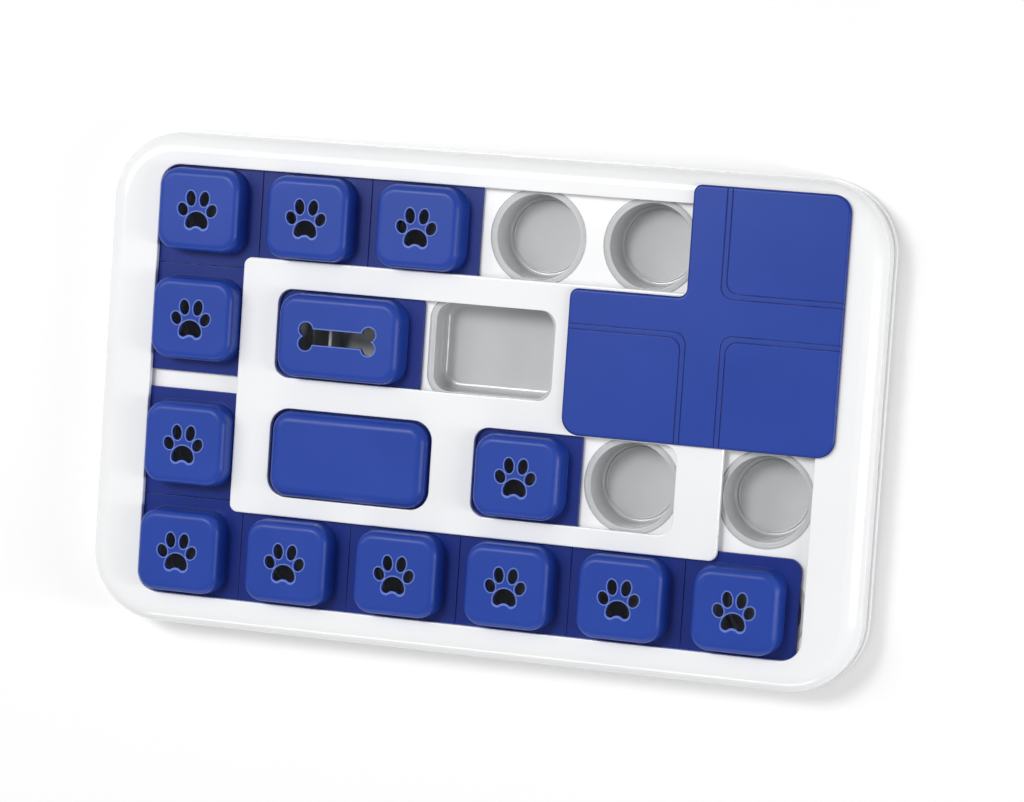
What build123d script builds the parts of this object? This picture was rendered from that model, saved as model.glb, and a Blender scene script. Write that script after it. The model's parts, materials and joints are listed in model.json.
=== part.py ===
from build123d import *
import os

# ---- driving dimensions, millimetres ---------------------------------------
# Origin: middle of the footprint, on the surface the feet stand on. +Z is up.

# body
BODY_W = 381.0
BODY_D = 237.4
BODY_R = 34.0
SHOULDER_R = 9.0
WALL = 2.6
TOP_Z = 28.0
PLATE_T = 3.0
UNDER_Z = TOP_Z - PLATE_T
BASE_Z = 1.5
LIP_Z = 7.0
SEAM_GAP = 0.4
LIP_OUT = 1.0

# ring channel
WIN_W = 328.8
WIN_D = 207.0
WIN_R = 10.0
TRACK_X0 = -168.7
TRACK_X1 = 170.8
TRACK_Y = 108.35
RIB = 2.2

# deck of the base tray
DECK_Z = 22.4
DECK_T = 2.2
DECK_W = 351.0
DECK_D = 225.2

# sliders
PITCH_X = 55.0
PITCH_Y = 52.0
GAP = 0.3
FLANGE_Z = 22.7
FLANGE_T = 2.0
FLANGE_TOP = FLANGE_Z + FLANGE_T
HEAD_W = 42.4
HEAD_D = 40.4
HEAD_X = -0.3
HEAD_Y = 0.4
HEAD_R = 9.8
HEAD_TOP = TOP_Z + 9.4
HEAD_EDGE = 3.6
DRAFT = 4.0
SKIN = 2.2
RIM_H = 0.25
RIM_W = 0.55

COL_X = [-140.9, -85.9, -30.9, 24.1, 79.1, 134.1]
ROW_Y = [82.1, 30.1, -30.1, -82.1]

# screws of the frame, in two rows of three, and of the island
SCREW_W = 360.8
SCREW_D = 95.0
SHANK_R = 1.3
island_screw_spots = [(-108.9, 30), (-108.9, -30), (-60, -1.7), (10, -1.7), (46.5, 27), (101.9, 4)]
ISLAND_SHANK_R = 1.1

# cups, set into holes in the deck and carried on their rims
CUP_R = 20.2
CUP_TAPER = 1.2
CUP_WALL = 1.6
CUP_FLOOR = 5.0
CUP_BASE = 3.3
CUP_RIM = 1.4
CUP_RIM_T = 0.9
CUP_TOP = DECK_Z - 0.1
CUP_FIT = 0.1
RIGHT_CUP_X = 142.0

LONG_W = 57.6
LONG_D = 42.0
LONG_R = 8.0
CUP_BONE_X = -63.3
DIVIDER_X = -76.5
DIVIDER_T = 1.4

# island
ISL_X0 = -119.5
ISL_X1 = 121.5
ISL_Y0 = -60.8
ISL_Y1 = 61.9
ISL_R = 4.0
RIB_X0 = -113.0
RIB_X1 = 106.3
RIB_Y = 55.8

# island compartments
BONE_Y = 27.1
LOW_Y = -30.0
BONE_X = -67.0
BONE_W = 61.5
BONE_D = 40.8
LONG_CUPS = [(5.7, BONE_Y), (CUP_BONE_X, BONE_Y)]
WINDOW_H = 42.4
SMALL_X = 25.1
SMALL_CUP_X = 77.6
SMALL_W = 43.0
SMALL_D = 39.8
BUTTON_X = -60.4
BUTTON_Y = -30.2
BUTTON_W = 77.8
BUTTON_D = 40.9
BUTTON_R = 9.0
BUTTON_EDGE = 5.0
BUTTON_TOP = TOP_Z + 4.6
BUTTON_WALL = 3.2
WELL_X = -60.5
WELL_Y = LOW_Y + 0.05
WELL_W = 86.8
WELL_D = 47.3
WELL_R = 3.2
WELL_WALL = 1.8
HIDDEN_CUP = (76.0, 27.0)

# rotating cover
COVER_X = 108.35
COVER_Y = 52.15
COVER_W = 130.2
COVER_D = 121.0
COVER_T = 2.2
COVER_Z = TOP_Z + 0.3
NOTCH_X = 99.0
NOTCH_Y = 60.3
COVER_EDGE = 1.4
GROOVE = 0.6
GROOVE_DEPTH = 0.4
GROOVE_STEP = 2.5
LEAF_R = 6.0
LEAF_REACH = 90.0
# outer corner of each leaf's outline, and the way its arms run
LEAVES = [(115.0, 60.6, 1, 1), (116.6, 44.2, 1, -1), (100.6, 44.1, -1, -1)]
PIN_R = 2.6

os.makedirs("parts", exist_ok=True)

# ---- paw and bone outlines, centred on the origin --------------------------
# grow widens the outline for the low raised rim round each cut-out.
def paw_outline(grow):
    with BuildSketch() as outline:
        # pad: a domed top and two lobes joined by a shallow hollow
        with Locations((0, -6.45)):
            Circle(5.75 + grow)
        with Locations((0, -11.45 - grow)):
            Rectangle(16, 10, mode=Mode.SUBTRACT)
        with BuildLine():
            lobe = 2.35 + grow
            right = CenterArc((3.4, -6.45 - grow), lobe, -110, 110)
            left = CenterArc((-3.4, -6.45 - grow), lobe, 180, 110)
            ThreePointArc(left @ 1, (0, -7.6 - 2 * grow), right @ 0)
            Line(right @ 1, left @ 0)
        make_face()
        with Locations(Location((-7.3, 0), 24), Location((7.3, 0), -24)):
            Ellipse(2.5 + grow, 3.15 + grow)
        with Locations(Location((-3.4, 5.4), 7), Location((3.4, 5.4), -7)):
            Ellipse(2.4 + grow, 3.65 + grow)
    return outline.sketch


def bone_outline(grow):
    with BuildSketch() as outline:
        Rectangle(31.4, 7.4 + 2 * grow)
        with Locations((-15.7, 3.3), (-15.7, -3.3), (15.7, 3.3), (15.7, -3.3)):
            Circle(3.45 + grow)
    return outline.sketch


paw = paw_outline(0)
paw_rim = paw_outline(RIM_W)
bone = bone_outline(0)
bone_rim = bone_outline(RIM_W)

# ---- top shell: rounded frame with the ring window --------------------------
with BuildPart() as top_frame:
    with BuildSketch(Plane.XY.offset(LIP_Z + SEAM_GAP)):
        RectangleRounded(BODY_W, BODY_D, BODY_R)
    extrude(amount=TOP_Z - LIP_Z - SEAM_GAP)
    fillet(top_frame.faces().sort_by(Axis.Z)[-1].edges(), SHOULDER_R)
    with BuildSketch(Plane.XY.offset(LIP_Z + SEAM_GAP)):
        RectangleRounded(BODY_W - 2 * WALL, BODY_D - 2 * WALL, BODY_R - WALL)
    extrude(amount=UNDER_Z - LIP_Z - SEAM_GAP, mode=Mode.SUBTRACT)
    ceiling = top_frame.faces().filter_by(Axis.Z).group_by(Axis.Z)[1]
    fillet(ceiling.edges(), SHOULDER_R - WALL)
    # guide rib round the ring track
    with BuildSketch(Plane.XY.offset(DECK_Z)):
        with Locations(((TRACK_X0 + TRACK_X1) / 2, 0)):
            RectangleRounded(TRACK_X1 - TRACK_X0 + 2 * RIB, 2 * TRACK_Y + 2 * RIB, 3.2)
            RectangleRounded(TRACK_X1 - TRACK_X0, 2 * TRACK_Y, 1.0, mode=Mode.SUBTRACT)
    extrude(amount=UNDER_Z - DECK_Z)
    # ring window
    with BuildSketch(Plane.XY.offset(UNDER_Z - 1)):
        RectangleRounded(WIN_W, WIN_D, WIN_R)
    extrude(amount=PLATE_T + 2, mode=Mode.SUBTRACT)
    # screw bosses inside the two ends
    with BuildSketch(Plane.XY.offset(LIP_Z)):
        with GridLocations(SCREW_W, SCREW_D, 2, 3):
            Circle(4.0)
    extrude(amount=UNDER_Z - LIP_Z)
    with BuildSketch(Plane.XY.offset(LIP_Z)):
        with GridLocations(SCREW_W, SCREW_D, 2, 3):
            Circle(SHANK_R)
    extrude(amount=12.0, mode=Mode.SUBTRACT)
    window_rim = top_frame.edges().filter_by_position(Axis.Z, TOP_Z - 0.01, TOP_Z + 0.01)
    window_rim = window_rim.filter_by(lambda e: abs(e.center().X) < WIN_W / 2 + 1)
    window_rim = window_rim.filter_by(lambda e: abs(e.center().Y) < WIN_D / 2 + 1)
    fillet(window_rim, 0.5)
top_frame.part.label = "top_frame"
export_step(top_frame.part, "parts/top_frame.step")

# ---- base tray: lip and raised deck with a hole for each cup -----------------
cup_cells = {}
for i in range(5):
    cup_cells[f"cup_top_{i + 1}"] = (COL_X[i], ROW_Y[0])
    cup_cells[f"cup_bottom_{i + 1}"] = (COL_X[i], ROW_Y[3])
for i in (1, 2):
    cup_cells[f"cup_left_{i + 1}"] = (COL_X[0], ROW_Y[i])
for i in range(4):
    cup_cells[f"cup_right_{i + 1}"] = (RIGHT_CUP_X, ROW_Y[i])
cup_cells["cup_island_paw"] = (SMALL_X, LOW_Y)
cup_cells["cup_island_small"] = (SMALL_CUP_X, LOW_Y)
cup_cells["cup_island_hidden"] = HIDDEN_CUP
cup_spots = list(cup_cells.values())

HOLE_R = CUP_R + CUP_WALL + CUP_FIT
SEAT_R = HOLE_R + CUP_RIM
SEAT_Z = CUP_TOP - CUP_RIM_T
LONG_OUT = 2 * CUP_WALL + 2 * CUP_FIT
LONG_SEAT = LONG_OUT + 2 * CUP_RIM

foot_spots = [(-182.2, 58.0), (-182.2, -58.0), (182.2, 58.0), (182.2, -58.0)]

with BuildPart() as base_tray:
    with BuildSketch(Plane.XY.offset(BASE_Z)):
        RectangleRounded(BODY_W + 2 * LIP_OUT, BODY_D + 2 * LIP_OUT, BODY_R + LIP_OUT)
    extrude(amount=LIP_Z - BASE_Z)
    outer_lip = base_tray.faces().sort_by(Axis.Z)
    fillet(outer_lip[0].edges(), 1.2)
    # tongue that centres the top shell
    with BuildSketch(Plane.XY.offset(LIP_Z)):
        RectangleRounded(BODY_W - 2 * WALL - 0.4, BODY_D - 2 * WALL - 0.4, BODY_R - WALL)
        RectangleRounded(BODY_W - 2 * WALL - 3.4, BODY_D - 2 * WALL - 3.4, BODY_R - WALL - 1.5,
                         mode=Mode.SUBTRACT)
        with GridLocations(SCREW_W, SCREW_D, 2, 3):
            Circle(4.3, mode=Mode.SUBTRACT)
    extrude(amount=2.0)
    with BuildSketch(Plane.XY.offset(LIP_Z)):
        RectangleRounded(DECK_W, DECK_D, 10.0)
    extrude(amount=DECK_Z - LIP_Z)
    # hollow under the deck
    with BuildSketch(Plane.XY.offset(BASE_Z)):
        RectangleRounded(DECK_W - 4.4, DECK_D - 4.4, 7.8)
    extrude(amount=DECK_Z - DECK_T - BASE_Z, mode=Mode.SUBTRACT)
    # hollow under the lip
    with BuildSketch(Plane.XY.offset(BASE_Z)):
        RectangleRounded(BODY_W - 2.8, BODY_D - 2.8, BODY_R - 1.4)
        RectangleRounded(DECK_W, DECK_D, 10.0, mode=Mode.SUBTRACT)
        with Locations(*foot_spots):
            Circle(6.4, mode=Mode.SUBTRACT)
    extrude(amount=3.1, mode=Mode.SUBTRACT)
    # well under the push button
    with BuildSketch(Plane.XY.offset(CUP_BASE)):
        with Locations((WELL_X, WELL_Y)):
            RectangleRounded(WELL_W + 2 * WELL_WALL, WELL_D + 2 * WELL_WALL, WELL_R + WELL_WALL)
    extrude(amount=DECK_Z - CUP_BASE)
    with BuildSketch(Plane.XY.offset(CUP_FLOOR)):
        with Locations((WELL_X, WELL_Y)):
            RectangleRounded(WELL_W, WELL_D, WELL_R)
    extrude(amount=DECK_Z - CUP_FLOOR, mode=Mode.SUBTRACT)
    # holes for the cups, each with a seat for the cup's rim
    with BuildSketch(Plane.XY.offset(DECK_Z)):
        with Locations(*cup_spots):
            Circle(HOLE_R)
        with Locations(*LONG_CUPS):
            RectangleRounded(LONG_W + LONG_OUT, LONG_D + LONG_OUT, LONG_R + LONG_OUT / 2)
    extrude(amount=-DECK_T, mode=Mode.SUBTRACT)
    with BuildSketch(Plane.XY.offset(DECK_Z)):
        with Locations(*cup_spots):
            Circle(SEAT_R)
        with Locations(*LONG_CUPS):
            RectangleRounded(LONG_W + LONG_SEAT, LONG_D + LONG_SEAT, LONG_R + LONG_SEAT / 2)
    extrude(amount=SEAT_Z - DECK_Z, mode=Mode.SUBTRACT)
    # holes for the screws, the cover's pin and the feet
    with BuildSketch(Plane.XY.offset(BASE_Z)):
        with GridLocations(SCREW_W, SCREW_D, 2, 3):
            Circle(1.7)
    extrude(amount=LIP_Z - BASE_Z + 1, mode=Mode.SUBTRACT)
    with BuildSketch(Plane.XY.offset(DECK_Z)):
        with Locations(*island_screw_spots):
            Circle(1.4)
        with Locations((COVER_X, COVER_Y)):
            Circle(PIN_R + 0.4)
    extrude(amount=-DECK_T - 0.5, mode=Mode.SUBTRACT)
    with BuildSketch(Plane.XY.offset(BASE_Z)):
        with Locations(*foot_spots):
            Circle(5.5)
    extrude(amount=0.8, mode=Mode.SUBTRACT)
base_tray.part.label = "base_tray"
export_step(base_tray.part, "parts/base_tray.step")

# ---- cups ---------------------------------------------------------------------
with BuildPart() as round_cup:
    with BuildSketch(Plane.XZ):
        with BuildLine():
            Polyline((0, CUP_BASE), (CUP_R - CUP_TAPER + CUP_WALL, CUP_BASE),
                     (CUP_R + CUP_WALL, SEAT_Z), (SEAT_R - CUP_FIT, SEAT_Z),
                     (SEAT_R - CUP_FIT, CUP_TOP), (CUP_R, CUP_TOP),
                     (CUP_R - CUP_TAPER, CUP_FLOOR), (0, CUP_FLOOR), close=True)
        make_face()
    revolve(axis=Axis.Z)
    floor_edge = round_cup.edges().filter_by_position(Axis.Z, CUP_FLOOR - 0.01, CUP_FLOOR + 0.01)
    fillet(floor_edge, 1.5)
    heel = round_cup.edges().filter_by_position(Axis.Z, CUP_BASE - 0.01, CUP_BASE + 0.01)
    fillet(heel, 1.5)
    brim = round_cup.edges().filter_by_position(Axis.Z, CUP_TOP - 0.01, CUP_TOP + 0.01)
    fillet(brim, 0.35)

for cell, (x, y) in cup_cells.items():
    with BuildPart() as cup:
        with Locations((x, y, 0)):
            add(round_cup.part)
    cup.part.label = cell
    export_step(cup.part, f"parts/{cell}.step")


def long_cup(x, y):
    with BuildPart() as piece:
        with BuildSketch(Plane.XY.offset(CUP_BASE)):
            with Locations((x, y)):
                RectangleRounded(LONG_W + 2 * CUP_WALL, LONG_D + 2 * CUP_WALL, LONG_R + CUP_WALL)
        extrude(amount=CUP_TOP - CUP_BASE)
        with BuildSketch(Plane.XY.offset(SEAT_Z)):
            with Locations((x, y)):
                RectangleRounded(LONG_W + LONG_SEAT - 0.2, LONG_D + LONG_SEAT - 0.2, LONG_R + 3.0)
        extrude(amount=CUP_RIM_T)
        with BuildSketch(Plane.XY.offset(CUP_TOP)):
            with Locations((x, y)):
                RectangleRounded(LONG_W, LONG_D, LONG_R)
        extrude(amount=CUP_FLOOR - CUP_TOP, mode=Mode.SUBTRACT)
        floor_edge = piece.edges().filter_by_position(Axis.Z, CUP_FLOOR - 0.01, CUP_FLOOR + 0.01)
        fillet(floor_edge, 3.0)
        heel = piece.edges().filter_by_position(Axis.Z, CUP_BASE - 0.01, CUP_BASE + 0.01)
        fillet(heel, 2.0)
        brim = piece.edges().filter_by_position(Axis.Z, CUP_TOP - 0.01, CUP_TOP + 0.01)
        fillet(brim, 0.35)
    return piece.part


with BuildPart() as cup_island_long:
    add(long_cup(*LONG_CUPS[0]))
cup_island_long.part.label = "cup_island_long"
export_step(cup_island_long.part, "parts/cup_island_long.step")

# The cup under the bone slider has a low dividing wall.
with BuildPart() as cup_island_bone:
    add(long_cup(*LONG_CUPS[1]))
    with BuildSketch(Plane.XY.offset(CUP_FLOOR - 0.5)):
        with Locations((DIVIDER_X, BONE_Y)):
            Rectangle(DIVIDER_T, LONG_D + 1.0)
    extrude(amount=15.5)
cup_island_bone.part.label = "cup_island_bone"
export_step(cup_island_bone.part, "parts/cup_island_bone.step")

# ---- island plate inside the ring -------------------------------------------
ISL_CX = (ISL_X0 + ISL_X1) / 2
ISL_CY = (ISL_Y0 + ISL_Y1) / 2

with BuildPart() as island_plate:
    with BuildSketch(Plane.XY.offset(UNDER_Z)):
        with Locations((ISL_CX, ISL_CY)):
            RectangleRounded(ISL_X1 - ISL_X0, ISL_Y1 - ISL_Y0, ISL_R)
    extrude(amount=PLATE_T)
    island_top = island_plate.faces().sort_by(Axis.Z)[-1].edges()
    fillet(island_top, 0.8)
    # ribs that stand on the deck and leave the three tracks free
    with BuildSketch(Plane.XY.offset(DECK_Z)):
        with Locations(((RIB_X0 + RIB_X1) / 2, 0)):
            RectangleRounded(RIB_X1 - RIB_X0, 2 * RIB_Y, 2.0)
        with Locations((COVER_X, COVER_Y)):
            Circle(5.0)
        with Locations((-33.0, BONE_Y)):
            RectangleRounded(143.2, 49.2, 6.0, mode=Mode.SUBTRACT)
        with Locations((WELL_X, WELL_Y)):
            RectangleRounded(WELL_W, WELL_D, WELL_R, mode=Mode.SUBTRACT)
        with Locations((50.9, LOW_Y)):
            RectangleRounded(108.4, 47.0, 2.0, mode=Mode.SUBTRACT)
    extrude(amount=UNDER_Z - DECK_Z)
    # windows
    with BuildSketch(Plane.XY.offset(DECK_Z)):
        with Locations((-32.0, BONE_Y)):
            RectangleRounded(137.8, WINDOW_H, 7.0)
        with Locations((WELL_X, LOW_Y)):
            RectangleRounded(81.2, WINDOW_H + 0.2, 9.5)
        with Locations((50.3, LOW_Y)):
            RectangleRounded(98.4, WINDOW_H, 7.0)
        with Locations(HIDDEN_CUP):
            Circle(CUP_R + 0.6)
    extrude(amount=TOP_Z - DECK_Z, mode=Mode.SUBTRACT)
    # bore for the cover's pin, pilot holes for the screws
    with BuildSketch(Plane.XY.offset(DECK_Z)):
        with Locations((COVER_X, COVER_Y)):
            Circle(PIN_R + 0.06)
    extrude(amount=TOP_Z - DECK_Z, mode=Mode.SUBTRACT)
    with BuildSketch(Plane.XY.offset(DECK_Z)):
        with Locations(*island_screw_spots):
            Circle(ISLAND_SHANK_R)
    extrude(amount=4.0, mode=Mode.SUBTRACT)
    openings = island_plate.edges().filter_by_position(Axis.Z, TOP_Z - 0.01, TOP_Z + 0.01)
    openings = openings.filter_by(lambda e: ISL_Y0 + 4 < e.center().Y < ISL_Y1 - 4)
    openings = openings.filter_by(lambda e: ISL_X0 + 4 < e.center().X < COVER_X - 5)
    fillet(openings, 0.4)
island_plate.part.label = "island_plate"
export_step(island_plate.part, "parts/island_plate.step")


# ---- sliders ------------------------------------------------------------------
# Ring slider at the origin: thin flange, hollow raised head, paw cut-out.
def head_edges(piece):
    return piece.faces().filter_by(Axis.Z).sort_by(Axis.Z)[-1].edges()


with BuildPart() as ring_slider:
    with BuildSketch(Plane.XY.offset(FLANGE_TOP)):
        with Locations((HEAD_X, HEAD_Y)):
            RectangleRounded(HEAD_W, HEAD_D, HEAD_R)
    extrude(amount=HEAD_TOP - FLANGE_TOP, taper=DRAFT)
    fillet(head_edges(ring_slider), HEAD_EDGE)
    with BuildSketch(Plane.XY.offset(HEAD_TOP)):
        with Locations((HEAD_X, HEAD_Y)):
            add(paw_rim)
    extrude(amount=RIM_H)
    with BuildSketch(Plane.XY.offset(FLANGE_Z)):
        RectangleRounded(PITCH_X - GAP, PITCH_Y - GAP, 1.2)
    extrude(amount=FLANGE_T)
    with BuildSketch(Plane.XY.offset(FLANGE_Z)):
        with Locations((HEAD_X, HEAD_Y)):
            RectangleRounded(HEAD_W - 2 * SKIN, HEAD_D - 2 * SKIN, HEAD_R - SKIN)
    extrude(amount=HEAD_TOP - SKIN - FLANGE_Z, taper=DRAFT, mode=Mode.SUBTRACT)
    with BuildSketch(Plane.XY.offset(HEAD_TOP + 1)):
        with Locations((HEAD_X, HEAD_Y)):
            add(paw)
    extrude(amount=-SKIN - 2, mode=Mode.SUBTRACT)

# The last slider of the bottom row has rounded outer flange corners.
with BuildPart() as corner_slider:
    add(ring_slider.part)
    with BuildSketch(Plane.XY.offset(FLANGE_Z)):
        with Locations((PITCH_X / 2 - 8, 0)):
            Rectangle(20, PITCH_Y + 2)
        with Locations((PITCH_X / 2 - GAP / 2 - 15, 0)):
            RectangleRounded(30, PITCH_Y - GAP, 6.0, mode=Mode.SUBTRACT)
        with Locations((PITCH_X / 2 - 25, 0)):
            Rectangle(20, PITCH_Y + 2, mode=Mode.SUBTRACT)
    extrude(amount=FLANGE_T, mode=Mode.SUBTRACT)

ring_cells = {
    "slider_top_1": (COL_X[0], ROW_Y[0]),
    "slider_top_2": (COL_X[1], ROW_Y[0]),
    "slider_top_3": (COL_X[2], ROW_Y[0]),
    "slider_left_2": (COL_X[0], ROW_Y[1]),
    "slider_left_3": (COL_X[0], ROW_Y[2]),
    "slider_bottom_1": (COL_X[0], ROW_Y[3]),
    "slider_bottom_2": (COL_X[1], ROW_Y[3]),
    "slider_bottom_3": (COL_X[2], ROW_Y[3]),
    "slider_bottom_4": (COL_X[3], ROW_Y[3]),
    "slider_bottom_5": (COL_X[4], ROW_Y[3]),
}
for cell, (x, y) in ring_cells.items():
    with BuildPart() as slider:
        with Locations((x, y, 0)):
            add(ring_slider.part)
    slider.part.label = cell
    export_step(slider.part, f"parts/{cell}.step")

with BuildPart() as slider_bottom_6:
    with Locations((COL_X[5], ROW_Y[3], 0)):
        add(corner_slider.part)
slider_bottom_6.part.label = "slider_bottom_6"
export_step(slider_bottom_6.part, "parts/slider_bottom_6.step")

# Small slider of the island: the same head on its own flange.
with BuildPart() as small_slider:
    with BuildSketch(Plane.XY.offset(FLANGE_TOP)):
        with Locations((SMALL_X, LOW_Y)):
            RectangleRounded(SMALL_W, SMALL_D, HEAD_R)
    extrude(amount=HEAD_TOP - FLANGE_TOP, taper=DRAFT)
    fillet(head_edges(small_slider), HEAD_EDGE)
    with BuildSketch(Plane.XY.offset(HEAD_TOP)):
        with Locations((SMALL_X, LOW_Y)):
            add(paw_rim)
    extrude(amount=RIM_H)
    with BuildSketch(Plane.XY.offset(FLANGE_Z)):
        with Locations((SMALL_X, LOW_Y)):
            RectangleRounded(56.0, 45.4, 1.5)
    extrude(amount=FLANGE_T)
    with BuildSketch(Plane.XY.offset(FLANGE_Z)):
        with Locations((SMALL_X, LOW_Y)):
            RectangleRounded(SMALL_W - 2 * SKIN, SMALL_D - 2 * SKIN, HEAD_R - SKIN)
    extrude(amount=HEAD_TOP - SKIN - FLANGE_Z, taper=DRAFT, mode=Mode.SUBTRACT)
    with BuildSketch(Plane.XY.offset(HEAD_TOP + 1)):
        with Locations((SMALL_X, LOW_Y)):
            add(paw)
    extrude(amount=-SKIN - 2, mode=Mode.SUBTRACT)
small_slider.part.label = "small_slider"
export_step(small_slider.part, "parts/small_slider.step")

# Wide slider with the bone cut-out.
with BuildPart() as bone_slider:
    with BuildSketch(Plane.XY.offset(FLANGE_TOP)):
        with Locations((BONE_X, BONE_Y)):
            RectangleRounded(BONE_W, BONE_D, HEAD_R)
    extrude(amount=HEAD_TOP - FLANGE_TOP, taper=DRAFT)
    fillet(head_edges(bone_slider), HEAD_EDGE)
    with BuildSketch(Plane.XY.offset(HEAD_TOP)):
        with Locations((BONE_X, BONE_Y)):
            add(bone_rim)
    extrude(amount=RIM_H)
    with BuildSketch(Plane.XY.offset(FLANGE_Z)):
        with Locations((-66.4, BONE_Y)):
            RectangleRounded(75.6, 48.6, 6.0)
    extrude(amount=FLANGE_T)
    with BuildSketch(Plane.XY.offset(FLANGE_Z)):
        with Locations((BONE_X, BONE_Y)):
            RectangleRounded(BONE_W - 2 * SKIN, BONE_D - 2 * SKIN, HEAD_R - SKIN)
    extrude(amount=HEAD_TOP - SKIN - FLANGE_Z, taper=DRAFT, mode=Mode.SUBTRACT)
    with BuildSketch(Plane.XY.offset(HEAD_TOP + 1)):
        with Locations((BONE_X, BONE_Y)):
            add(bone)
    extrude(amount=-SKIN - 2, mode=Mode.SUBTRACT)
bone_slider.part.label = "bone_slider"
export_step(bone_slider.part, "parts/bone_slider.step")

# ---- push button with its squeaker -----------------------------------------
with BuildPart() as push_button:
    with BuildSketch(Plane.XY.offset(FLANGE_TOP)):
        with Locations((BUTTON_X, BUTTON_Y)):
            RectangleRounded(BUTTON_W, BUTTON_D, BUTTON_R)
    extrude(amount=BUTTON_TOP - FLANGE_TOP)
    fillet(head_edges(push_button), BUTTON_EDGE)
    with BuildSketch(Plane.XY.offset(FLANGE_Z)):
        with Locations((WELL_X, WELL_Y)):
            RectangleRounded(86.0, 46.4, 3.0)
    extrude(amount=FLANGE_T)
    with BuildSketch(Plane.XY.offset(FLANGE_Z)):
        with Locations((BUTTON_X, BUTTON_Y)):
            RectangleRounded(BUTTON_W - 2 * BUTTON_WALL, BUTTON_D - 2 * BUTTON_WALL, BUTTON_R - BUTTON_WALL)
    extrude(amount=BUTTON_TOP - SKIN - FLANGE_Z, mode=Mode.SUBTRACT)
push_button.part.label = "push_button"
export_step(push_button.part, "parts/push_button.step")

REED_TOP = CUP_FLOOR + 2.4
BELLOWS_TOP = BUTTON_TOP - SKIN
with BuildPart() as squeaker_reed:
    with BuildSketch(Plane.XY.offset(CUP_FLOOR)):
        with Locations((WELL_X, LOW_Y)):
            Circle(12.0)
            Circle(2.0, mode=Mode.SUBTRACT)
    extrude(amount=REED_TOP - CUP_FLOOR)
squeaker_reed.part.label = "squeaker_reed"
export_step(squeaker_reed.part, "parts/squeaker_reed.step")

with BuildPart() as squeaker_bellows:
    with BuildSketch(Plane.XZ.offset(-LOW_Y)):
        with BuildLine():
            Polyline((WELL_X, REED_TOP), (WELL_X + 12, REED_TOP), (WELL_X + 12, 10.0),
                     (WELL_X + 15, 13.0), (WELL_X + 11, 16.5), (WELL_X + 15, 20.0),
                     (WELL_X + 11, 23.5), (WELL_X + 14, 26.5), (WELL_X + 12, BELLOWS_TOP),
                     (WELL_X, BELLOWS_TOP), close=True)
        make_face()
    revolve(axis=Axis((WELL_X, LOW_Y, 0), (0, 0, 1)))
squeaker_bellows.part.label = "squeaker_bellows"
export_step(squeaker_bellows.part, "parts/squeaker_bellows.step")

# ---- rotating cover with its notch, ribs and pin -----------------------------
# Each leaf is outlined by two fine grooves: a corner and its two arms, which run past the edges.
def leaf_groove(x, y, way_x, way_y):
    with BuildSketch() as groove:
        with Locations((x + way_x * LEAF_REACH / 2, y + way_y * LEAF_REACH / 2)):
            RectangleRounded(LEAF_REACH, LEAF_REACH, LEAF_R)
            inner = LEAF_REACH - 2 * GROOVE
            RectangleRounded(inner, inner, LEAF_R - GROOVE, mode=Mode.SUBTRACT)
    return groove.sketch


HALF_W = COVER_W / 2
HALF_D = COVER_D / 2
LEFT = COVER_X - HALF_W
HIGH = COVER_Y + HALF_D
with BuildPart() as rotating_cover:
    with BuildSketch(Plane.XY.offset(COVER_Z)) as cover_plan:
        with Locations((COVER_X, COVER_Y)):
            RectangleRounded(COVER_W, COVER_D, 8.5)
        with Locations(((LEFT + NOTCH_X) / 2 - 5, (HIGH + NOTCH_Y) / 2 + 5)):
            Rectangle(NOTCH_X - LEFT + 10, HIGH - NOTCH_Y + 10, mode=Mode.SUBTRACT)
        notch = cover_plan.vertices()
        inner = notch.sort_by_distance((NOTCH_X, NOTCH_Y))[0]
        tip_a = notch.sort_by_distance((NOTCH_X, HIGH))[0]
        tip_b = notch.sort_by_distance((LEFT, NOTCH_Y))[0]
        fillet([inner, tip_a, tip_b], 4.0)
    extrude(amount=COVER_T)
    fillet(rotating_cover.faces().sort_by(Axis.Z)[-1].edges(), COVER_EDGE)
    with BuildSketch(Plane.XY.offset(COVER_Z + COVER_T)):
        for x, y, way_x, way_y in LEAVES:
            add(leaf_groove(x, y, way_x, way_y))
            add(leaf_groove(x + way_x * GROOVE_STEP, y + way_y * GROOVE_STEP, way_x, way_y))
    extrude(amount=-GROOVE_DEPTH, mode=Mode.SUBTRACT)
    # pin that turns in the island plate
    with BuildSketch(Plane.XY.offset(COVER_Z)):
        with Locations((COVER_X, COVER_Y)):
            Circle(8.0)
    extrude(amount=-0.2)
    with BuildSketch(Plane.XY.offset(COVER_Z)):
        with Locations((COVER_X, COVER_Y)):
            Circle(PIN_R)
    extrude(amount=-(COVER_Z - 19.8))
    with BuildSketch(Plane.XY.offset(19.8)):
        with Locations((COVER_X, COVER_Y)):
            Circle(1.1)
    extrude(amount=7.0, mode=Mode.SUBTRACT)
rotating_cover.part.label = "rotating_cover"
export_step(rotating_cover.part, "parts/rotating_cover.step")

with BuildPart() as cover_washer:
    with BuildSketch(Plane.XY.offset(18.8)):
        with Locations((COVER_X, COVER_Y)):
            Circle(5.5)
            Circle(1.3, mode=Mode.SUBTRACT)
    extrude(amount=1.0)
cover_washer.part.label = "cover_washer"
export_step(cover_washer.part, "parts/cover_washer.step")

with BuildPart() as cover_screw:
    with BuildSketch(Plane.XY.offset(17.0)):
        with Locations((COVER_X, COVER_Y)):
            Circle(2.6)
    extrude(amount=1.8)
    with BuildSketch(Plane.XY.offset(18.8)):
        with Locations((COVER_X, COVER_Y)):
            Circle(1.1)
    extrude(amount=7.0)
    with BuildSketch(Plane.XY.offset(17.0)):
        with Locations((COVER_X, COVER_Y)):
            Rectangle(3.2, 0.7)
            Rectangle(0.7, 3.2)
    extrude(amount=1.0, mode=Mode.SUBTRACT)
cover_screw.part.label = "cover_screw"
export_step(cover_screw.part, "parts/cover_screw.step")

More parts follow.
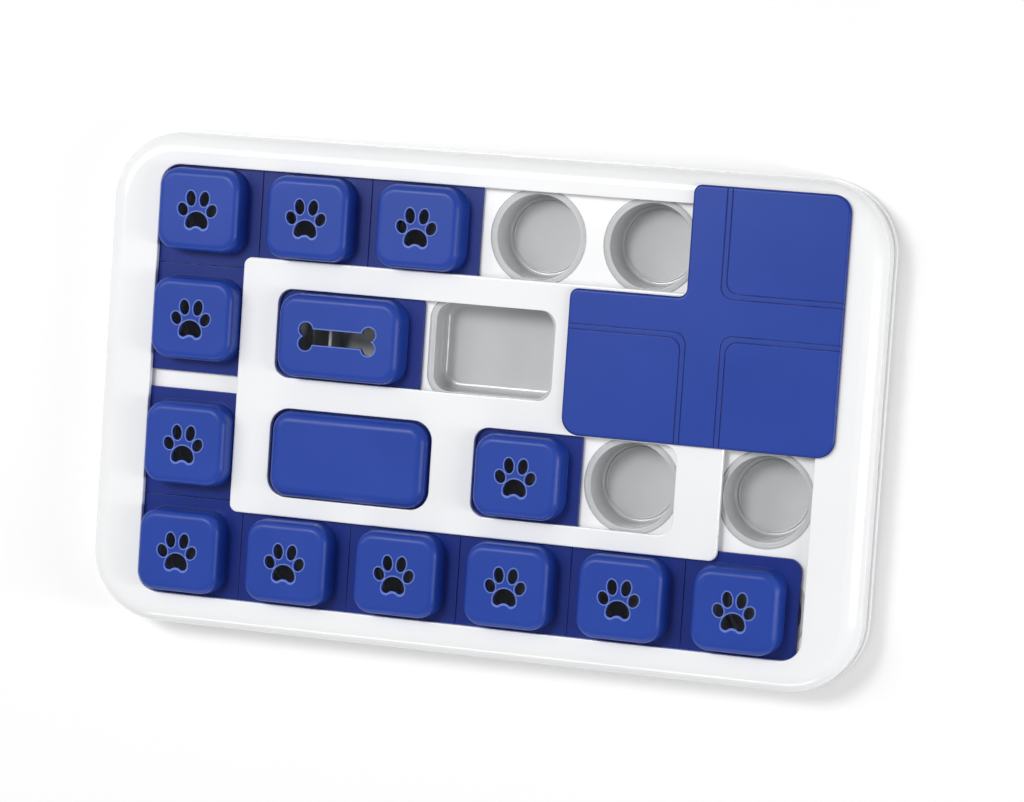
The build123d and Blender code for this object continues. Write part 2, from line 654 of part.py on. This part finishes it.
# ---- fasteners and feet --------------------------------------------------------
with BuildPart() as frame_screws:
    with BuildSketch(Plane.XY.offset(2.9)):
        with GridLocations(SCREW_W, SCREW_D, 2, 3):
            Circle(3.0)
    extrude(amount=1.7)
    with BuildSketch(Plane.XY.offset(4.6)):
        with GridLocations(SCREW_W, SCREW_D, 2, 3):
            Circle(SHANK_R)
    extrude(amount=10.0)
    with BuildSketch(Plane.XY.offset(2.9)):
        with GridLocations(SCREW_W, SCREW_D, 2, 3):
            Rectangle(3.6, 0.8)
            Rectangle(0.8, 3.6)
    extrude(amount=1.0, mode=Mode.SUBTRACT)
frame_screws.part.label = "frame_screws"
export_step(frame_screws.part, "parts/frame_screws.step")

with BuildPart() as island_screws:
    with BuildSketch(Plane.XY.offset(18.6)):
        with Locations(*island_screw_spots):
            Circle(2.4)
    extrude(amount=1.6)
    with BuildSketch(Plane.XY.offset(20.2)):
        with Locations(*island_screw_spots):
            Circle(ISLAND_SHANK_R)
    extrude(amount=6.0)
    with BuildSketch(Plane.XY.offset(18.6)):
        with Locations(*island_screw_spots):
            Rectangle(3.0, 0.7)
            Rectangle(0.7, 3.0)
    extrude(amount=0.9, mode=Mode.SUBTRACT)
island_screws.part.label = "island_screws"
export_step(island_screws.part, "parts/island_screws.step")

with BuildPart() as rubber_feet:
    with BuildSketch():
        with Locations(*foot_spots):
            Circle(5.5)
    extrude(amount=BASE_Z + 0.8)
    fillet(rubber_feet.edges().filter_by_position(Axis.Z, -0.01, 0.01), 0.5)
rubber_feet.part.label = "rubber_feet"
export_step(rubber_feet.part, "parts/rubber_feet.step")
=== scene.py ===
"""Looks of a dog puzzle feeder: its finishes, small moulded details, light and camera.

Lengths are in metres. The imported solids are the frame; nothing here moves or resizes them.
"""
import json
import math

import bmesh
import bpy
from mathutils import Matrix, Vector


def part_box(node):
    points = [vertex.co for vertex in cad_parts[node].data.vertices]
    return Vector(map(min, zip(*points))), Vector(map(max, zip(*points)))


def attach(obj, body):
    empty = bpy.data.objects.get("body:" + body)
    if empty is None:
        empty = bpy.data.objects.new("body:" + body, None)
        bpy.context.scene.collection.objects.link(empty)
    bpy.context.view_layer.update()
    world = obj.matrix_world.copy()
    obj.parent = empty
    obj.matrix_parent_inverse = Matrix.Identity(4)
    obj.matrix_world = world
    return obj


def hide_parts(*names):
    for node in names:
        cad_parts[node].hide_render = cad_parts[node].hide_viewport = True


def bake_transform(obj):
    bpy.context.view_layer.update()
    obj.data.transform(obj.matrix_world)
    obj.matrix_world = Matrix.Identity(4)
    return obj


MM = 0.001

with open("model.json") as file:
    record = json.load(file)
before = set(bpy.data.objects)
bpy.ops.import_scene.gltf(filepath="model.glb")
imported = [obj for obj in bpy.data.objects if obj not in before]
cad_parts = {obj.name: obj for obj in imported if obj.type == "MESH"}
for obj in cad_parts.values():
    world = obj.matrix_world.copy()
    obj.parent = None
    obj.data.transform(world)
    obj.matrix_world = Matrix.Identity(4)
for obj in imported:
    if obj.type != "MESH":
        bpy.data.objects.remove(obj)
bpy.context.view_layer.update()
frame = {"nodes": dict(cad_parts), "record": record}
nodes = frame["nodes"]

slot_of = {row["node"]: row["material_slot"] for row in frame["record"]["subparts"]}


# ---- node helpers ------------------------------------------------------------
class Shading:
    """A material's node tree with short ways to add and join its nodes."""

    def __init__(self, name):
        self.material = bpy.data.materials.new(name)
        self.material.use_nodes = True
        self.tree = self.material.node_tree
        self.tree.nodes.clear()
        self.output = self.tree.nodes.new("ShaderNodeOutputMaterial")
        self.place = self.add("ShaderNodeTexCoord").outputs["Object"]

    def add(self, kind, **settings):
        node = self.tree.nodes.new(kind)
        for key, value in settings.items():
            setattr(node, key, value)
        return node

    def link(self, source, target):
        self.tree.links.new(source, target)

    def noise(self, scale, detail=2.0, stretch=(1.0, 1.0, 1.0), seed=0.0):
        mapping = self.add("ShaderNodeMapping")
        mapping.inputs["Scale"].default_value = stretch
        mapping.inputs["Location"].default_value = (seed, seed * 0.7, seed * 0.3)
        self.link(self.place, mapping.inputs["Vector"])
        noise = self.add("ShaderNodeTexNoise")
        noise.inputs["Scale"].default_value = scale
        noise.inputs["Detail"].default_value = detail
        self.link(mapping.outputs["Vector"], noise.inputs["Vector"])
        return noise.outputs["Fac"]

    def spread(self, value, low, high, to_low, to_high):
        ramp = self.add("ShaderNodeMapRange", clamp=True)
        for key, number in zip(("From Min", "From Max", "To Min", "To Max"), (low, high, to_low, to_high)):
            ramp.inputs[key].default_value = number
        self.link(value, ramp.inputs["Value"])
        return ramp.outputs["Result"]

    def blend(self, factor, first, second):
        mix = self.add("ShaderNodeMix", data_type="RGBA")
        self.link(factor, mix.inputs["Factor"])
        for socket, colour in ((mix.inputs[6], first), (mix.inputs[7], second)):
            if isinstance(colour, tuple):
                socket.default_value = (*colour, 1.0)
            else:
                self.link(colour, socket)
        return mix.outputs[2]

    def sum(self, *values, operation="ADD"):
        total = values[0]
        for value in values[1:]:
            math_node = self.add("ShaderNodeMath", operation=operation)
            self.link(total, math_node.inputs[0])
            self.link(value, math_node.inputs[1])
            total = math_node.outputs[0]
        return total

    def height(self, low, high):
        """0 below one height on the object and 1 above another."""
        split = self.add("ShaderNodeSeparateXYZ")
        self.link(self.place, split.inputs[0])
        return self.spread(split.outputs["Z"], low, high, 0.0, 1.0)

    def rounded(self, radius):
        bevel = self.add("ShaderNodeBevel", samples=6)
        bevel.inputs["Radius"].default_value = radius
        return bevel.outputs["Normal"]

    def edges(self, rounded, start=0.02, end=0.22):
        """1 on sharp edges and 0 on flats, from how far the rounded normal leaves the true one."""
        geometry = self.add("ShaderNodeNewGeometry")
        dot = self.add("ShaderNodeVectorMath", operation="DOT_PRODUCT")
        self.link(rounded, dot.inputs[0])
        self.link(geometry.outputs["Normal"], dot.inputs[1])
        return self.spread(dot.outputs["Value"], 1 - end, 1 - start, 1.0, 0.0)

    def bump(self, height, distance, strength, normal):
        bump = self.add("ShaderNodeBump")
        bump.inputs["Distance"].default_value = distance
        bump.inputs["Strength"].default_value = strength
        self.link(height, bump.inputs["Height"])
        self.link(normal, bump.inputs["Normal"])
        return bump.outputs["Normal"]

    def principled(self, **values):
        shader = self.add("ShaderNodeBsdfPrincipled")
        for key, value in values.items():
            socket = shader.inputs[key.replace("_", " ")]
            if isinstance(value, bpy.types.NodeSocket):
                self.link(value, socket)
            else:
                socket.default_value = value
        self.link(shader.outputs["BSDF"], self.output.inputs["Surface"])
        return shader


# ---- finishes ------------------------------------------------------------------
STEP_BLEND = 0.25 * MM
CREST_BELOW = 0.05 * MM
CREST_ABOVE = 0.1 * MM


def moulded_plastic(name, colour, shade, worn_and_highlight, roughness, grain, grain_depth, edge_radius,
                    shine=0.5, coat=0.0, seed=0.0, sunk=None, crest=None):
    """Injection-moulded plastic: faint flow marks in the colour, fine grain, and edges made paler partly by
    wear and partly by painted highlight.

    Given a height and colour for sunk shade, the plastic below that height is darkened to that colour as
    painted shade.
    Given a height and colour for a crest highlight, the plastic above that height, a raised rim, is made
    paler to that colour as a painted highlight.
    """
    look = Shading(name)
    rounded = look.rounded(edge_radius)
    rim = look.edges(rounded)
    flow = look.noise(14.0, 3.0, (1.0, 1.6, 1.0), seed)
    rubbed = look.noise(55.0, 5.0, (1.0, 0.35, 1.0), seed + 3)
    speckle = look.noise(grain, 2.0, seed=seed + 5)
    base = look.blend(look.spread(flow, 0.35, 0.7, 0.0, 1.0), colour, shade)
    if sunk:
        # painted shade: below the given height the plastic is darkened, standing in for the shade in its
        # recesses
        level, painted_shade = sunk
        base = look.blend(look.height(level - STEP_BLEND, level + STEP_BLEND), painted_shade, base)
    # edges paler in patches: partly wear, partly painted highlight along the edges
    wear_and_highlight = look.sum(rim, look.spread(rubbed, 0.42, 0.62, 0.15, 0.8), operation="MULTIPLY")
    tinted = look.blend(wear_and_highlight, base, worn_and_highlight)
    # painted highlight: the raised rim above the given height is made paler
    if crest:
        level, painted_highlight = crest
        tinted = look.blend(look.height(level - CREST_BELOW, level + CREST_ABOVE), tinted, painted_highlight)
    rough = look.sum(look.spread(rubbed, 0.3, 0.75, roughness - 0.035, roughness + 0.05),
                     look.spread(wear_and_highlight, 0.0, 1.0, 0.0, 0.08))
    normal = look.bump(speckle, grain_depth, 0.6, rounded)
    look.principled(Base_Color=tinted, Roughness=rough, Normal=normal, IOR=1.46,
                    Specular_IOR_Level=shine, Coat_Weight=coat, Coat_Roughness=0.12)
    return look.material


def frosted_cup_plastic():
    """Thin milky grey plastic of the cups: smooth, a little uneven in tone, and paler at the edges with a
    painted highlight.
    """
    look = Shading("frosted_cup_plastic")
    rounded = look.rounded(0.35 * MM)
    rim = look.edges(rounded, 0.01, 0.12)
    cloud = look.noise(40.0, 3.0)
    ripple = look.noise(260.0, 2.0, (1.0, 1.0, 0.3), 2.0)
    base = look.blend(look.spread(cloud, 0.3, 0.7, 0.0, 1.0), (0.55, 0.56, 0.57), (0.50, 0.51, 0.52))
    # painted highlight: edges and beads made nearly white
    tinted = look.blend(look.spread(rim, 0.0, 1.0, 0.0, 0.9), base, (0.93, 0.94, 0.95))
    normal = look.bump(ripple, 0.06 * MM, 0.5, rounded)
    look.principled(Base_Color=tinted, Roughness=look.spread(cloud, 0.3, 0.7, 0.16, 0.26),
                    Normal=normal, IOR=1.49, Coat_Weight=0.3, Coat_Roughness=0.08)
    return look.material


def soft_rubber(name, colour, dusty, grain_depth):
    look = Shading(name)
    rounded = look.rounded(0.3 * MM)
    rim = look.edges(rounded)
    dust = look.noise(120.0, 4.0)
    grit = look.noise(1800.0, 2.0, seed=4.0)
    base = look.blend(look.spread(dust, 0.45, 0.7, 0.0, 0.6), colour, dusty)
    tinted = look.blend(look.spread(rim, 0.0, 1.0, 0.0, 0.5), base, dusty)
    normal = look.bump(grit, grain_depth, 0.7, rounded)
    look.principled(Base_Color=tinted, Roughness=look.spread(dust, 0.3, 0.7, 0.62, 0.8), Normal=normal,
                    IOR=1.5)
    return look.material


def zinc_steel():
    look = Shading("zinc_steel")
    rounded = look.rounded(0.15 * MM)
    rim = look.edges(rounded)
    mottled = look.noise(700.0, 4.0)
    turned = look.noise(90.0, 2.0, (1.0, 1.0, 40.0), 1.0)
    base = look.blend(look.spread(mottled, 0.35, 0.7, 0.0, 1.0), (0.56, 0.57, 0.60), (0.44, 0.45, 0.46))
    tinted = look.blend(look.spread(rim, 0.0, 1.0, 0.0, 0.7), base, (0.72, 0.72, 0.73))
    normal = look.bump(turned, 0.02 * MM, 0.5, rounded)
    look.principled(Base_Color=tinted, Metallic=1.0, Roughness=look.spread(mottled, 0.3, 0.7, 0.26, 0.42),
                    Normal=normal)
    return look.material


SHELL_WHITE = (0.86, 0.865, 0.87)
SHELL_SHADE = (0.835, 0.84, 0.85)
# painted light: the deck's whites are set lighter than the shell's white to lift the shade the deck lies in
# among the sliders
DECK_WHITE = (0.90, 0.90, 0.905)
DECK_SHADE = (0.87, 0.875, 0.885)
BLUE = (0.016, 0.052, 0.325)
BLUE_SHADE = (0.012, 0.045, 0.295)
# paler edge colour: wear together with painted highlight
BLUE_WORN_AND_HIGHLIGHT = (0.09, 0.15, 0.50)
# painted shade colour, for the recessed slider flanges and the cover's grooves
BLUE_PAINTED_SHADE = (0.002, 0.018, 0.180)
# painted highlight colour, for the raised rims round the paw and bone cut-outs
BLUE_PAINTED_HIGHLIGHT = (0.12, 0.19, 0.58)
FLANGE_LEVEL = 25.0 * MM
RIM_LEVEL = 37.45 * MM
GROOVE_LEVEL = 30.3 * MM


def blue_plastic(name, **zones):
    return moulded_plastic(name, BLUE, BLUE_SHADE, BLUE_WORN_AND_HIGHLIGHT, 0.34, 2600.0, 0.02 * MM, 0.45 * MM,
                           shine=0.25, seed=7.0, **zones)


finishes = {
    "white_shell": moulded_plastic("glossy_white_shell", SHELL_WHITE, SHELL_SHADE, (0.93, 0.93, 0.93),
                                   0.20, 900.0, 0.012 * MM, 0.6 * MM, coat=0.5),
    # painted shade on the slider's flanges below FLANGE_LEVEL
    "blue_plastic": blue_plastic("satin_blue_slider", sunk=(FLANGE_LEVEL, BLUE_PAINTED_SHADE),
                                 # painted highlight on the raised paw and bone rims above RIM_LEVEL
                                 crest=(RIM_LEVEL, BLUE_PAINTED_HIGHLIGHT)),
    "frosted_cup": frosted_cup_plastic(),
    "white_rubber": soft_rubber("soft_white_rubber", (0.74, 0.74, 0.71), (0.66, 0.66, 0.64), 0.04 * MM),
    "grey_rubber": soft_rubber("grey_foot_rubber", (0.045, 0.046, 0.05), (0.12, 0.12, 0.115), 0.06 * MM),
    "steel": zinc_steel(),
}
# deck finish in those lighter whites, which carry painted light
deck_finish = moulded_plastic("satin_white_deck", DECK_WHITE, DECK_SHADE, (0.92, 0.92, 0.92),
                              0.30, 1200.0, 0.015 * MM, 0.5 * MM, coat=0.15, seed=2.0)


def dress(piece, material):
    if not piece.material_slots:
        piece.data.materials.append(material)
    for place in piece.material_slots:
        place.material = material


for name, piece in nodes.items():
    dress(piece, finishes[slot_of[name]])
dress(nodes["base_tray"], deck_finish)
# painted shade on the cover below GROOVE_LEVEL, where its grooves lie
dress(nodes["rotating_cover"], blue_plastic("satin_blue_cover", sunk=(GROOVE_LEVEL, BLUE_PAINTED_SHADE)))


# ---- small moulded details -----------------------------------------------------
class Growth:
    """A Geometry Nodes tree with named inputs, run once on a mesh of points."""

    def __init__(self, name, **inputs):
        self.tree = bpy.data.node_groups.new(name, "GeometryNodeTree")
        face = self.tree.interface
        face.new_socket("Geometry", in_out="INPUT", socket_type="NodeSocketGeometry")
        self.keys = {}
        for label, value in inputs.items():
            socket = face.new_socket(label, in_out="INPUT", socket_type="NodeSocketFloat")
            socket.default_value = value
            self.keys[label] = socket.identifier
        face.new_socket("Geometry", in_out="OUTPUT", socket_type="NodeSocketGeometry")
        self.start = self.add("NodeGroupInput")
        self.end = self.add("NodeGroupOutput")

    def add(self, kind, **settings):
        node = self.tree.nodes.new(kind)
        for key, value in settings.items():
            setattr(node, key, value)
        return node

    def link(self, source, target):
        self.tree.links.new(source, target)

    def vector(self, *parts):
        combine = self.add("ShaderNodeCombineXYZ")
        for part, socket in zip(parts, combine.inputs):
            if isinstance(part, bpy.types.NodeSocket):
                self.link(part, socket)
            else:
                socket.default_value = part
        return combine.outputs[0]

    def repeat(self, shape, material):
        """Put the shape on every point of the incoming mesh and finish the tree."""
        spread = self.add("GeometryNodeInstanceOnPoints")
        self.link(self.start.outputs["Geometry"], spread.inputs["Points"])
        self.link(shape, spread.inputs["Instance"])
        real = self.add("GeometryNodeRealizeInstances")
        self.link(spread.outputs["Instances"], real.inputs["Geometry"])
        paint = self.add("GeometryNodeSetMaterial")
        paint.inputs["Material"].default_value = material
        self.link(real.outputs["Geometry"], paint.inputs["Geometry"])
        self.link(paint.outputs["Geometry"], self.end.inputs["Geometry"])

    def grow(self, name, points, body, slot, **sizes):
        mesh = bpy.data.meshes.new(name)
        mesh.from_pydata([tuple(point) for point in points], [], [])
        piece = bpy.data.objects.new(name, mesh)
        bpy.context.scene.collection.objects.link(piece)
        modifier = piece.modifiers.new(name, "NODES")
        modifier.node_group = self.tree
        for label, value in sizes.items():
            modifier[self.keys[label]] = value
        evaluated = piece.evaluated_get(bpy.context.evaluated_depsgraph_get())
        grown = bpy.data.meshes.new_from_object(evaluated)
        piece.modifiers.clear()
        piece.data = grown
        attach(piece, body)
        return piece


def bar_growth(material):
    """A straight rib of one size, centred on each point."""
    growth = Growth("moulded_rib", Length=0.05, Thickness=0.0014, Height=0.008)
    bar = growth.add("GeometryNodeMeshCube")
    size = growth.vector(growth.start.outputs["Thickness"], growth.start.outputs["Length"],
                         growth.start.outputs["Height"])
    growth.link(size, bar.inputs["Size"])
    growth.repeat(bar.outputs["Mesh"], material)
    return growth


def ring_growth(material):
    """A round bead of one size, centred on each point."""
    growth = Growth("ring_bead", Radius=0.02, Bead=0.0004)
    path = growth.add("GeometryNodeCurvePrimitiveCircle")
    path.inputs["Resolution"].default_value = 96
    growth.link(growth.start.outputs["Radius"], path.inputs["Radius"])
    section = growth.add("GeometryNodeCurvePrimitiveCircle")
    section.inputs["Resolution"].default_value = 10
    growth.link(growth.start.outputs["Bead"], section.inputs["Radius"])
    sweep = growth.add("GeometryNodeCurveToMesh")
    growth.link(path.outputs["Curve"], sweep.inputs["Curve"])
    growth.link(section.outputs["Curve"], sweep.inputs["Profile Curve"])
    smooth = growth.add("GeometryNodeSetShadeSmooth")
    growth.link(sweep.outputs["Mesh"], smooth.inputs["Geometry"])
    growth.repeat(smooth.outputs["Geometry"], material)
    return growth


def loop_growth(material):
    """A bead round a rectangle with rounded corners, centred on each point."""
    growth = Growth("loop_bead", Width=0.05, Depth=0.04, Corner=0.008, Bead=0.0004)
    path = growth.add("GeometryNodeCurvePrimitiveQuadrilateral")
    growth.link(growth.start.outputs["Width"], path.inputs["Width"])
    growth.link(growth.start.outputs["Depth"], path.inputs["Height"])
    bend = growth.add("GeometryNodeFilletCurve", mode="POLY")
    bend.inputs["Count"].default_value = 16
    growth.link(path.outputs["Curve"], bend.inputs["Curve"])
    growth.link(growth.start.outputs["Corner"], bend.inputs["Radius"])
    section = growth.add("GeometryNodeCurvePrimitiveCircle")
    section.inputs["Resolution"].default_value = 10
    growth.link(growth.start.outputs["Bead"], section.inputs["Radius"])
    sweep = growth.add("GeometryNodeCurveToMesh")
    growth.link(bend.outputs["Curve"], sweep.inputs["Curve"])
    growth.link(section.outputs["Curve"], sweep.inputs["Profile Curve"])
    smooth = growth.add("GeometryNodeSetShadeSmooth")
    growth.link(sweep.outputs["Mesh"], smooth.inputs["Geometry"])
    growth.repeat(smooth.outputs["Geometry"], material)
    return growth


def middle(name):
    low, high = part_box(name)
    return (Vector(low) + Vector(high)) / 2


CUP_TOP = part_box("cup_top_1")[1][2]
CUP_FLOOR = 5.0 * MM
CUP_BRIM = 0.9 * MM
BEAD = 0.35 * MM
BEAD_SINK = 0.15 * MM
FLOOR_RING_INSET = 5.4 * MM
FLOOR_RING_RISE = 0.05 * MM
FLOOR_RING_BEAD = 0.5 * MM
LONG_CUP_CORNER = 10.0 * MM
long_cups = ["cup_island_long", "cup_island_bone"]
round_cups = sorted(name for name in nodes if name.startswith("cup_") and name not in long_cups)


def at_height(name, z):
    centre = middle(name)
    return (centre.x, centre.y, z)


def rim_beads():
    """A bead round the mouth of every cup and a low ring on every round cup's floor, made pale by the cup
    plastic's painted edge highlight.
    """
    low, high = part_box("cup_top_1")
    outer = (high[0] - low[0]) / 2 - CUP_BRIM
    rings = ring_growth(finishes["frosted_cup"])
    rings.grow("cup_rim_beads", [at_height(name, CUP_TOP - BEAD_SINK) for name in round_cups], "body",
               "frosted_cup", Radius=outer, Bead=BEAD)
    floor_spots = [at_height(name, CUP_FLOOR + FLOOR_RING_RISE) for name in round_cups]
    rings.grow("cup_floor_rings", floor_spots, "body", "frosted_cup", Radius=outer - FLOOR_RING_INSET,
               Bead=FLOOR_RING_BEAD)
    low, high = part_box("cup_island_long")
    loops = loop_growth(finishes["frosted_cup"])
    loops.grow("long_cup_rim_beads", [at_height(name, CUP_TOP - BEAD_SINK) for name in long_cups], "body",
               "frosted_cup", Width=high[0] - low[0] - 2 * CUP_BRIM, Depth=high[1] - low[1] - 2 * CUP_BRIM,
               Corner=LONG_CUP_CORNER, Bead=BEAD)


RIB_THICK = 1.4 * MM
RIB_LOW = 12.0 * MM
DECK_UNDER = 20.3 * MM
TRAY_X = 173.2 * MM
TRAY_Y = 110.3 * MM
LONG_RIB_Y = 58.9 * MM
ISLAND_RIBS = ((-113.4 * MM, (-1, 1)), (40.5 * MM, (1,)), (51.4 * MM, (-1,)))


def underside_ribs():
    """Stiffening ribs under the deck, between the cups."""
    middle_z = (RIB_LOW + DECK_UNDER) / 2
    tall = DECK_UNDER - RIB_LOW
    bars = bar_growth(deck_finish)
    centres = [middle("cup_bottom_%d" % i).x for i in range(1, 6)] + [middle("cup_right_4").x]
    gaps = [(first + second) / 2 for first, second in zip(centres, centres[1:])]
    band = TRAY_Y - LONG_RIB_Y
    crossings = [(x, side * (LONG_RIB_Y + band / 2), middle_z) for x in gaps for side in (-1, 1)]
    bars.grow("deck_cross_ribs", crossings, "body", "white_shell", Length=band, Thickness=RIB_THICK,
              Height=tall)
    bars.grow("deck_long_ribs", [(0.0, side * LONG_RIB_Y, middle_z) for side in (-1, 1)],
              "body", "white_shell", Length=RIB_THICK, Thickness=2 * TRAY_X, Height=tall)
    halves = [(x, side * LONG_RIB_Y / 2, middle_z) for x, sides in ISLAND_RIBS for side in sides]
    bars.grow("deck_island_ribs", halves, "body", "white_shell", Length=LONG_RIB_Y, Thickness=RIB_THICK,
              Height=tall)


FOLDS = 3
FOLD_DEPTH = 1.9 * MM
COLLAR = 3.0 * MM
CONTACT_GAP = 0.02 * MM


def bellows_profile(radius, bottom, top, steps=60):
    """Radius and height up the bellows' side: a plain collar at both ends and round folds between them."""
    side = []
    for i in range(steps + 1):
        z = bottom + (top - bottom) * i / steps
        along = (z - bottom - COLLAR) / (top - bottom - 2 * COLLAR)
        wave = math.sin(math.pi * FOLDS * along) ** 2 if 0 < along < 1 else 0.0
        side.append((radius - 2 * FOLD_DEPTH + 2 * FOLD_DEPTH * wave, z))
    return side


def lathe(name, centre, side, turns=72):
    """A closed solid of revolution round an upright axis."""
    shape = bmesh.new()
    rings = []
    for radius, z in side:
        angles = [2 * math.pi * k / turns for k in range(turns)]
        rings.append([shape.verts.new((centre.x + radius * math.cos(a), centre.y + radius * math.sin(a), z))
                      for a in angles])
    for lower, upper in zip(rings, rings[1:]):
        for k in range(turns):
            after = (k + 1) % turns
            shape.faces.new((lower[k], lower[after], upper[after], upper[k])).smooth = True
    shape.faces.new(list(reversed(rings[0])))
    shape.faces.new(rings[-1])
    mesh = bpy.data.meshes.new(name)
    shape.to_mesh(mesh)
    shape.free()
    piece = bpy.data.objects.new(name, mesh)
    bpy.context.scene.collection.objects.link(piece)
    return piece


def folding_bellows():
    """The squeaker's bellows between the tray and the button, built at its resting length."""
    low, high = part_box("squeaker_bellows")
    centre = middle("squeaker_bellows")
    top = high[2] - CONTACT_GAP
    side = bellows_profile((high[0] - low[0]) / 2, low[2], top)
    bellows = lathe("bellows_skin", centre, side)
    dress(bellows, finishes["white_rubber"])
    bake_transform(bellows)
    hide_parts("squeaker_bellows")


rim_beads()
underside_ribs()
folding_bellows()


# ---- floor, light and camera ---------------------------------------------------
FLOOR_SIZE = 12.0
FLOOR_DROP = 0.2 * MM
FLOOR_COLOUR = (0.78, 0.78, 0.785, 1.0)
FLOOR_GLOW = 0.18
WORLD_LEVEL = 0.31
SENSOR = 36.0
LENS = 117.864
SHIFT = (-0.125, -0.03)
CAMERA_PLACE = (0.46548, 0.14227, 1.52907)
CAMERA_TURN = (-0.057482, 0.256688, 0.072599)
# name, place, point it faces, width and height, watts
LAMPS = (
    ("soft_key", (-0.45, 0.52, 1.6), (0.0, 0.0, 0.0), (0.45, 0.45), 13.5),
    ("low_left", (-1.1, 0.50, 1.3), (0.0, 0.0, 0.0), (0.8, 0.8), 7.5),
    ("right_strip", (1.1, -0.1, 0.30), (0.15, 0.0, 0.03), (0.14, 1.1), 7.5),
    ("front_strip", (-0.1, -1.1, 0.30), (-0.05, -0.05, 0.03), (1.1, 0.12), 2.6),
)


def floor_material():
    """Pale matt floor that reads as white to the camera and keeps the soft shadow."""
    look = Shading("pale_floor")
    diffuse = look.add("ShaderNodeBsdfDiffuse")
    diffuse.inputs["Color"].default_value = FLOOR_COLOUR
    glow = look.add("ShaderNodeEmission")
    glow.inputs["Color"].default_value = (1.0, 1.0, 1.0, 1.0)
    path = look.add("ShaderNodeLightPath")
    seen = look.sum(path.outputs["Is Camera Ray"], path.outputs["Is Glossy Ray"],
                    path.outputs["Is Transmission Ray"], operation="MAXIMUM")
    look.link(look.spread(seen, 0.0, 1.0, 0.0, FLOOR_GLOW), glow.inputs["Strength"])
    both = look.add("ShaderNodeAddShader")
    look.link(diffuse.outputs[0], both.inputs[0])
    look.link(glow.outputs[0], both.inputs[1])
    look.link(both.outputs[0], look.output.inputs["Surface"])
    return look.material


def lay_floor():
    mesh = bpy.data.meshes.new("floor")
    shape = bmesh.new()
    bmesh.ops.create_grid(shape, x_segments=2, y_segments=2, size=FLOOR_SIZE / 2)
    shape.to_mesh(mesh)
    shape.free()
    floor = bpy.data.objects.new("floor", mesh)
    bpy.context.scene.collection.objects.link(floor)
    floor.location.z = -FLOOR_DROP
    dress(floor, floor_material())


def hang_lamp(name, place, aim, size, power):
    lamp = bpy.data.lights.new(name, "AREA")
    lamp.shape = "RECTANGLE"
    lamp.size, lamp.size_y = size
    lamp.energy = power
    holder = bpy.data.objects.new(name, lamp)
    holder.location = place
    holder.rotation_euler = (Vector(aim) - Vector(place)).to_track_quat("-Z", "Y").to_euler()
    bpy.context.scene.collection.objects.link(holder)


def light_world(strength):
    """Even pale surroundings that the camera and reflections see as white."""
    world = bpy.data.worlds.new("studio")
    bpy.context.scene.world = world
    world.use_nodes = True
    tree = world.node_tree
    back = tree.nodes["Background"]
    path = tree.nodes.new("ShaderNodeLightPath")
    seen = path.outputs["Is Camera Ray"]
    for kind in ("Is Glossy Ray", "Is Transmission Ray"):
        either = tree.nodes.new("ShaderNodeMath")
        either.operation = "MAXIMUM"
        tree.links.new(seen, either.inputs[0])
        tree.links.new(path.outputs[kind], either.inputs[1])
        seen = either.outputs[0]
    level = tree.nodes.new("ShaderNodeMapRange")
    level.inputs["To Min"].default_value = strength
    level.inputs["To Max"].default_value = 1.0
    tree.links.new(seen, level.inputs["Value"])
    tree.links.new(level.outputs["Result"], back.inputs["Strength"])
    back.inputs["Color"].default_value = (1.0, 1.0, 1.0, 1.0)


def place_camera():
    data = bpy.data.cameras.new("camera")
    data.sensor_width = SENSOR
    data.lens = LENS
    data.shift_x, data.shift_y = SHIFT
    camera = bpy.data.objects.new("camera", data)
    camera.location = CAMERA_PLACE
    camera.rotation_euler = CAMERA_TURN
    bpy.context.scene.collection.objects.link(camera)
    bpy.context.scene.camera = camera


lay_floor()
light_world(WORLD_LEVEL)
for lamp in LAMPS:
    hang_lamp(*lamp)
place_camera()
bpy.context.scene.view_settings.view_transform = "Standard"
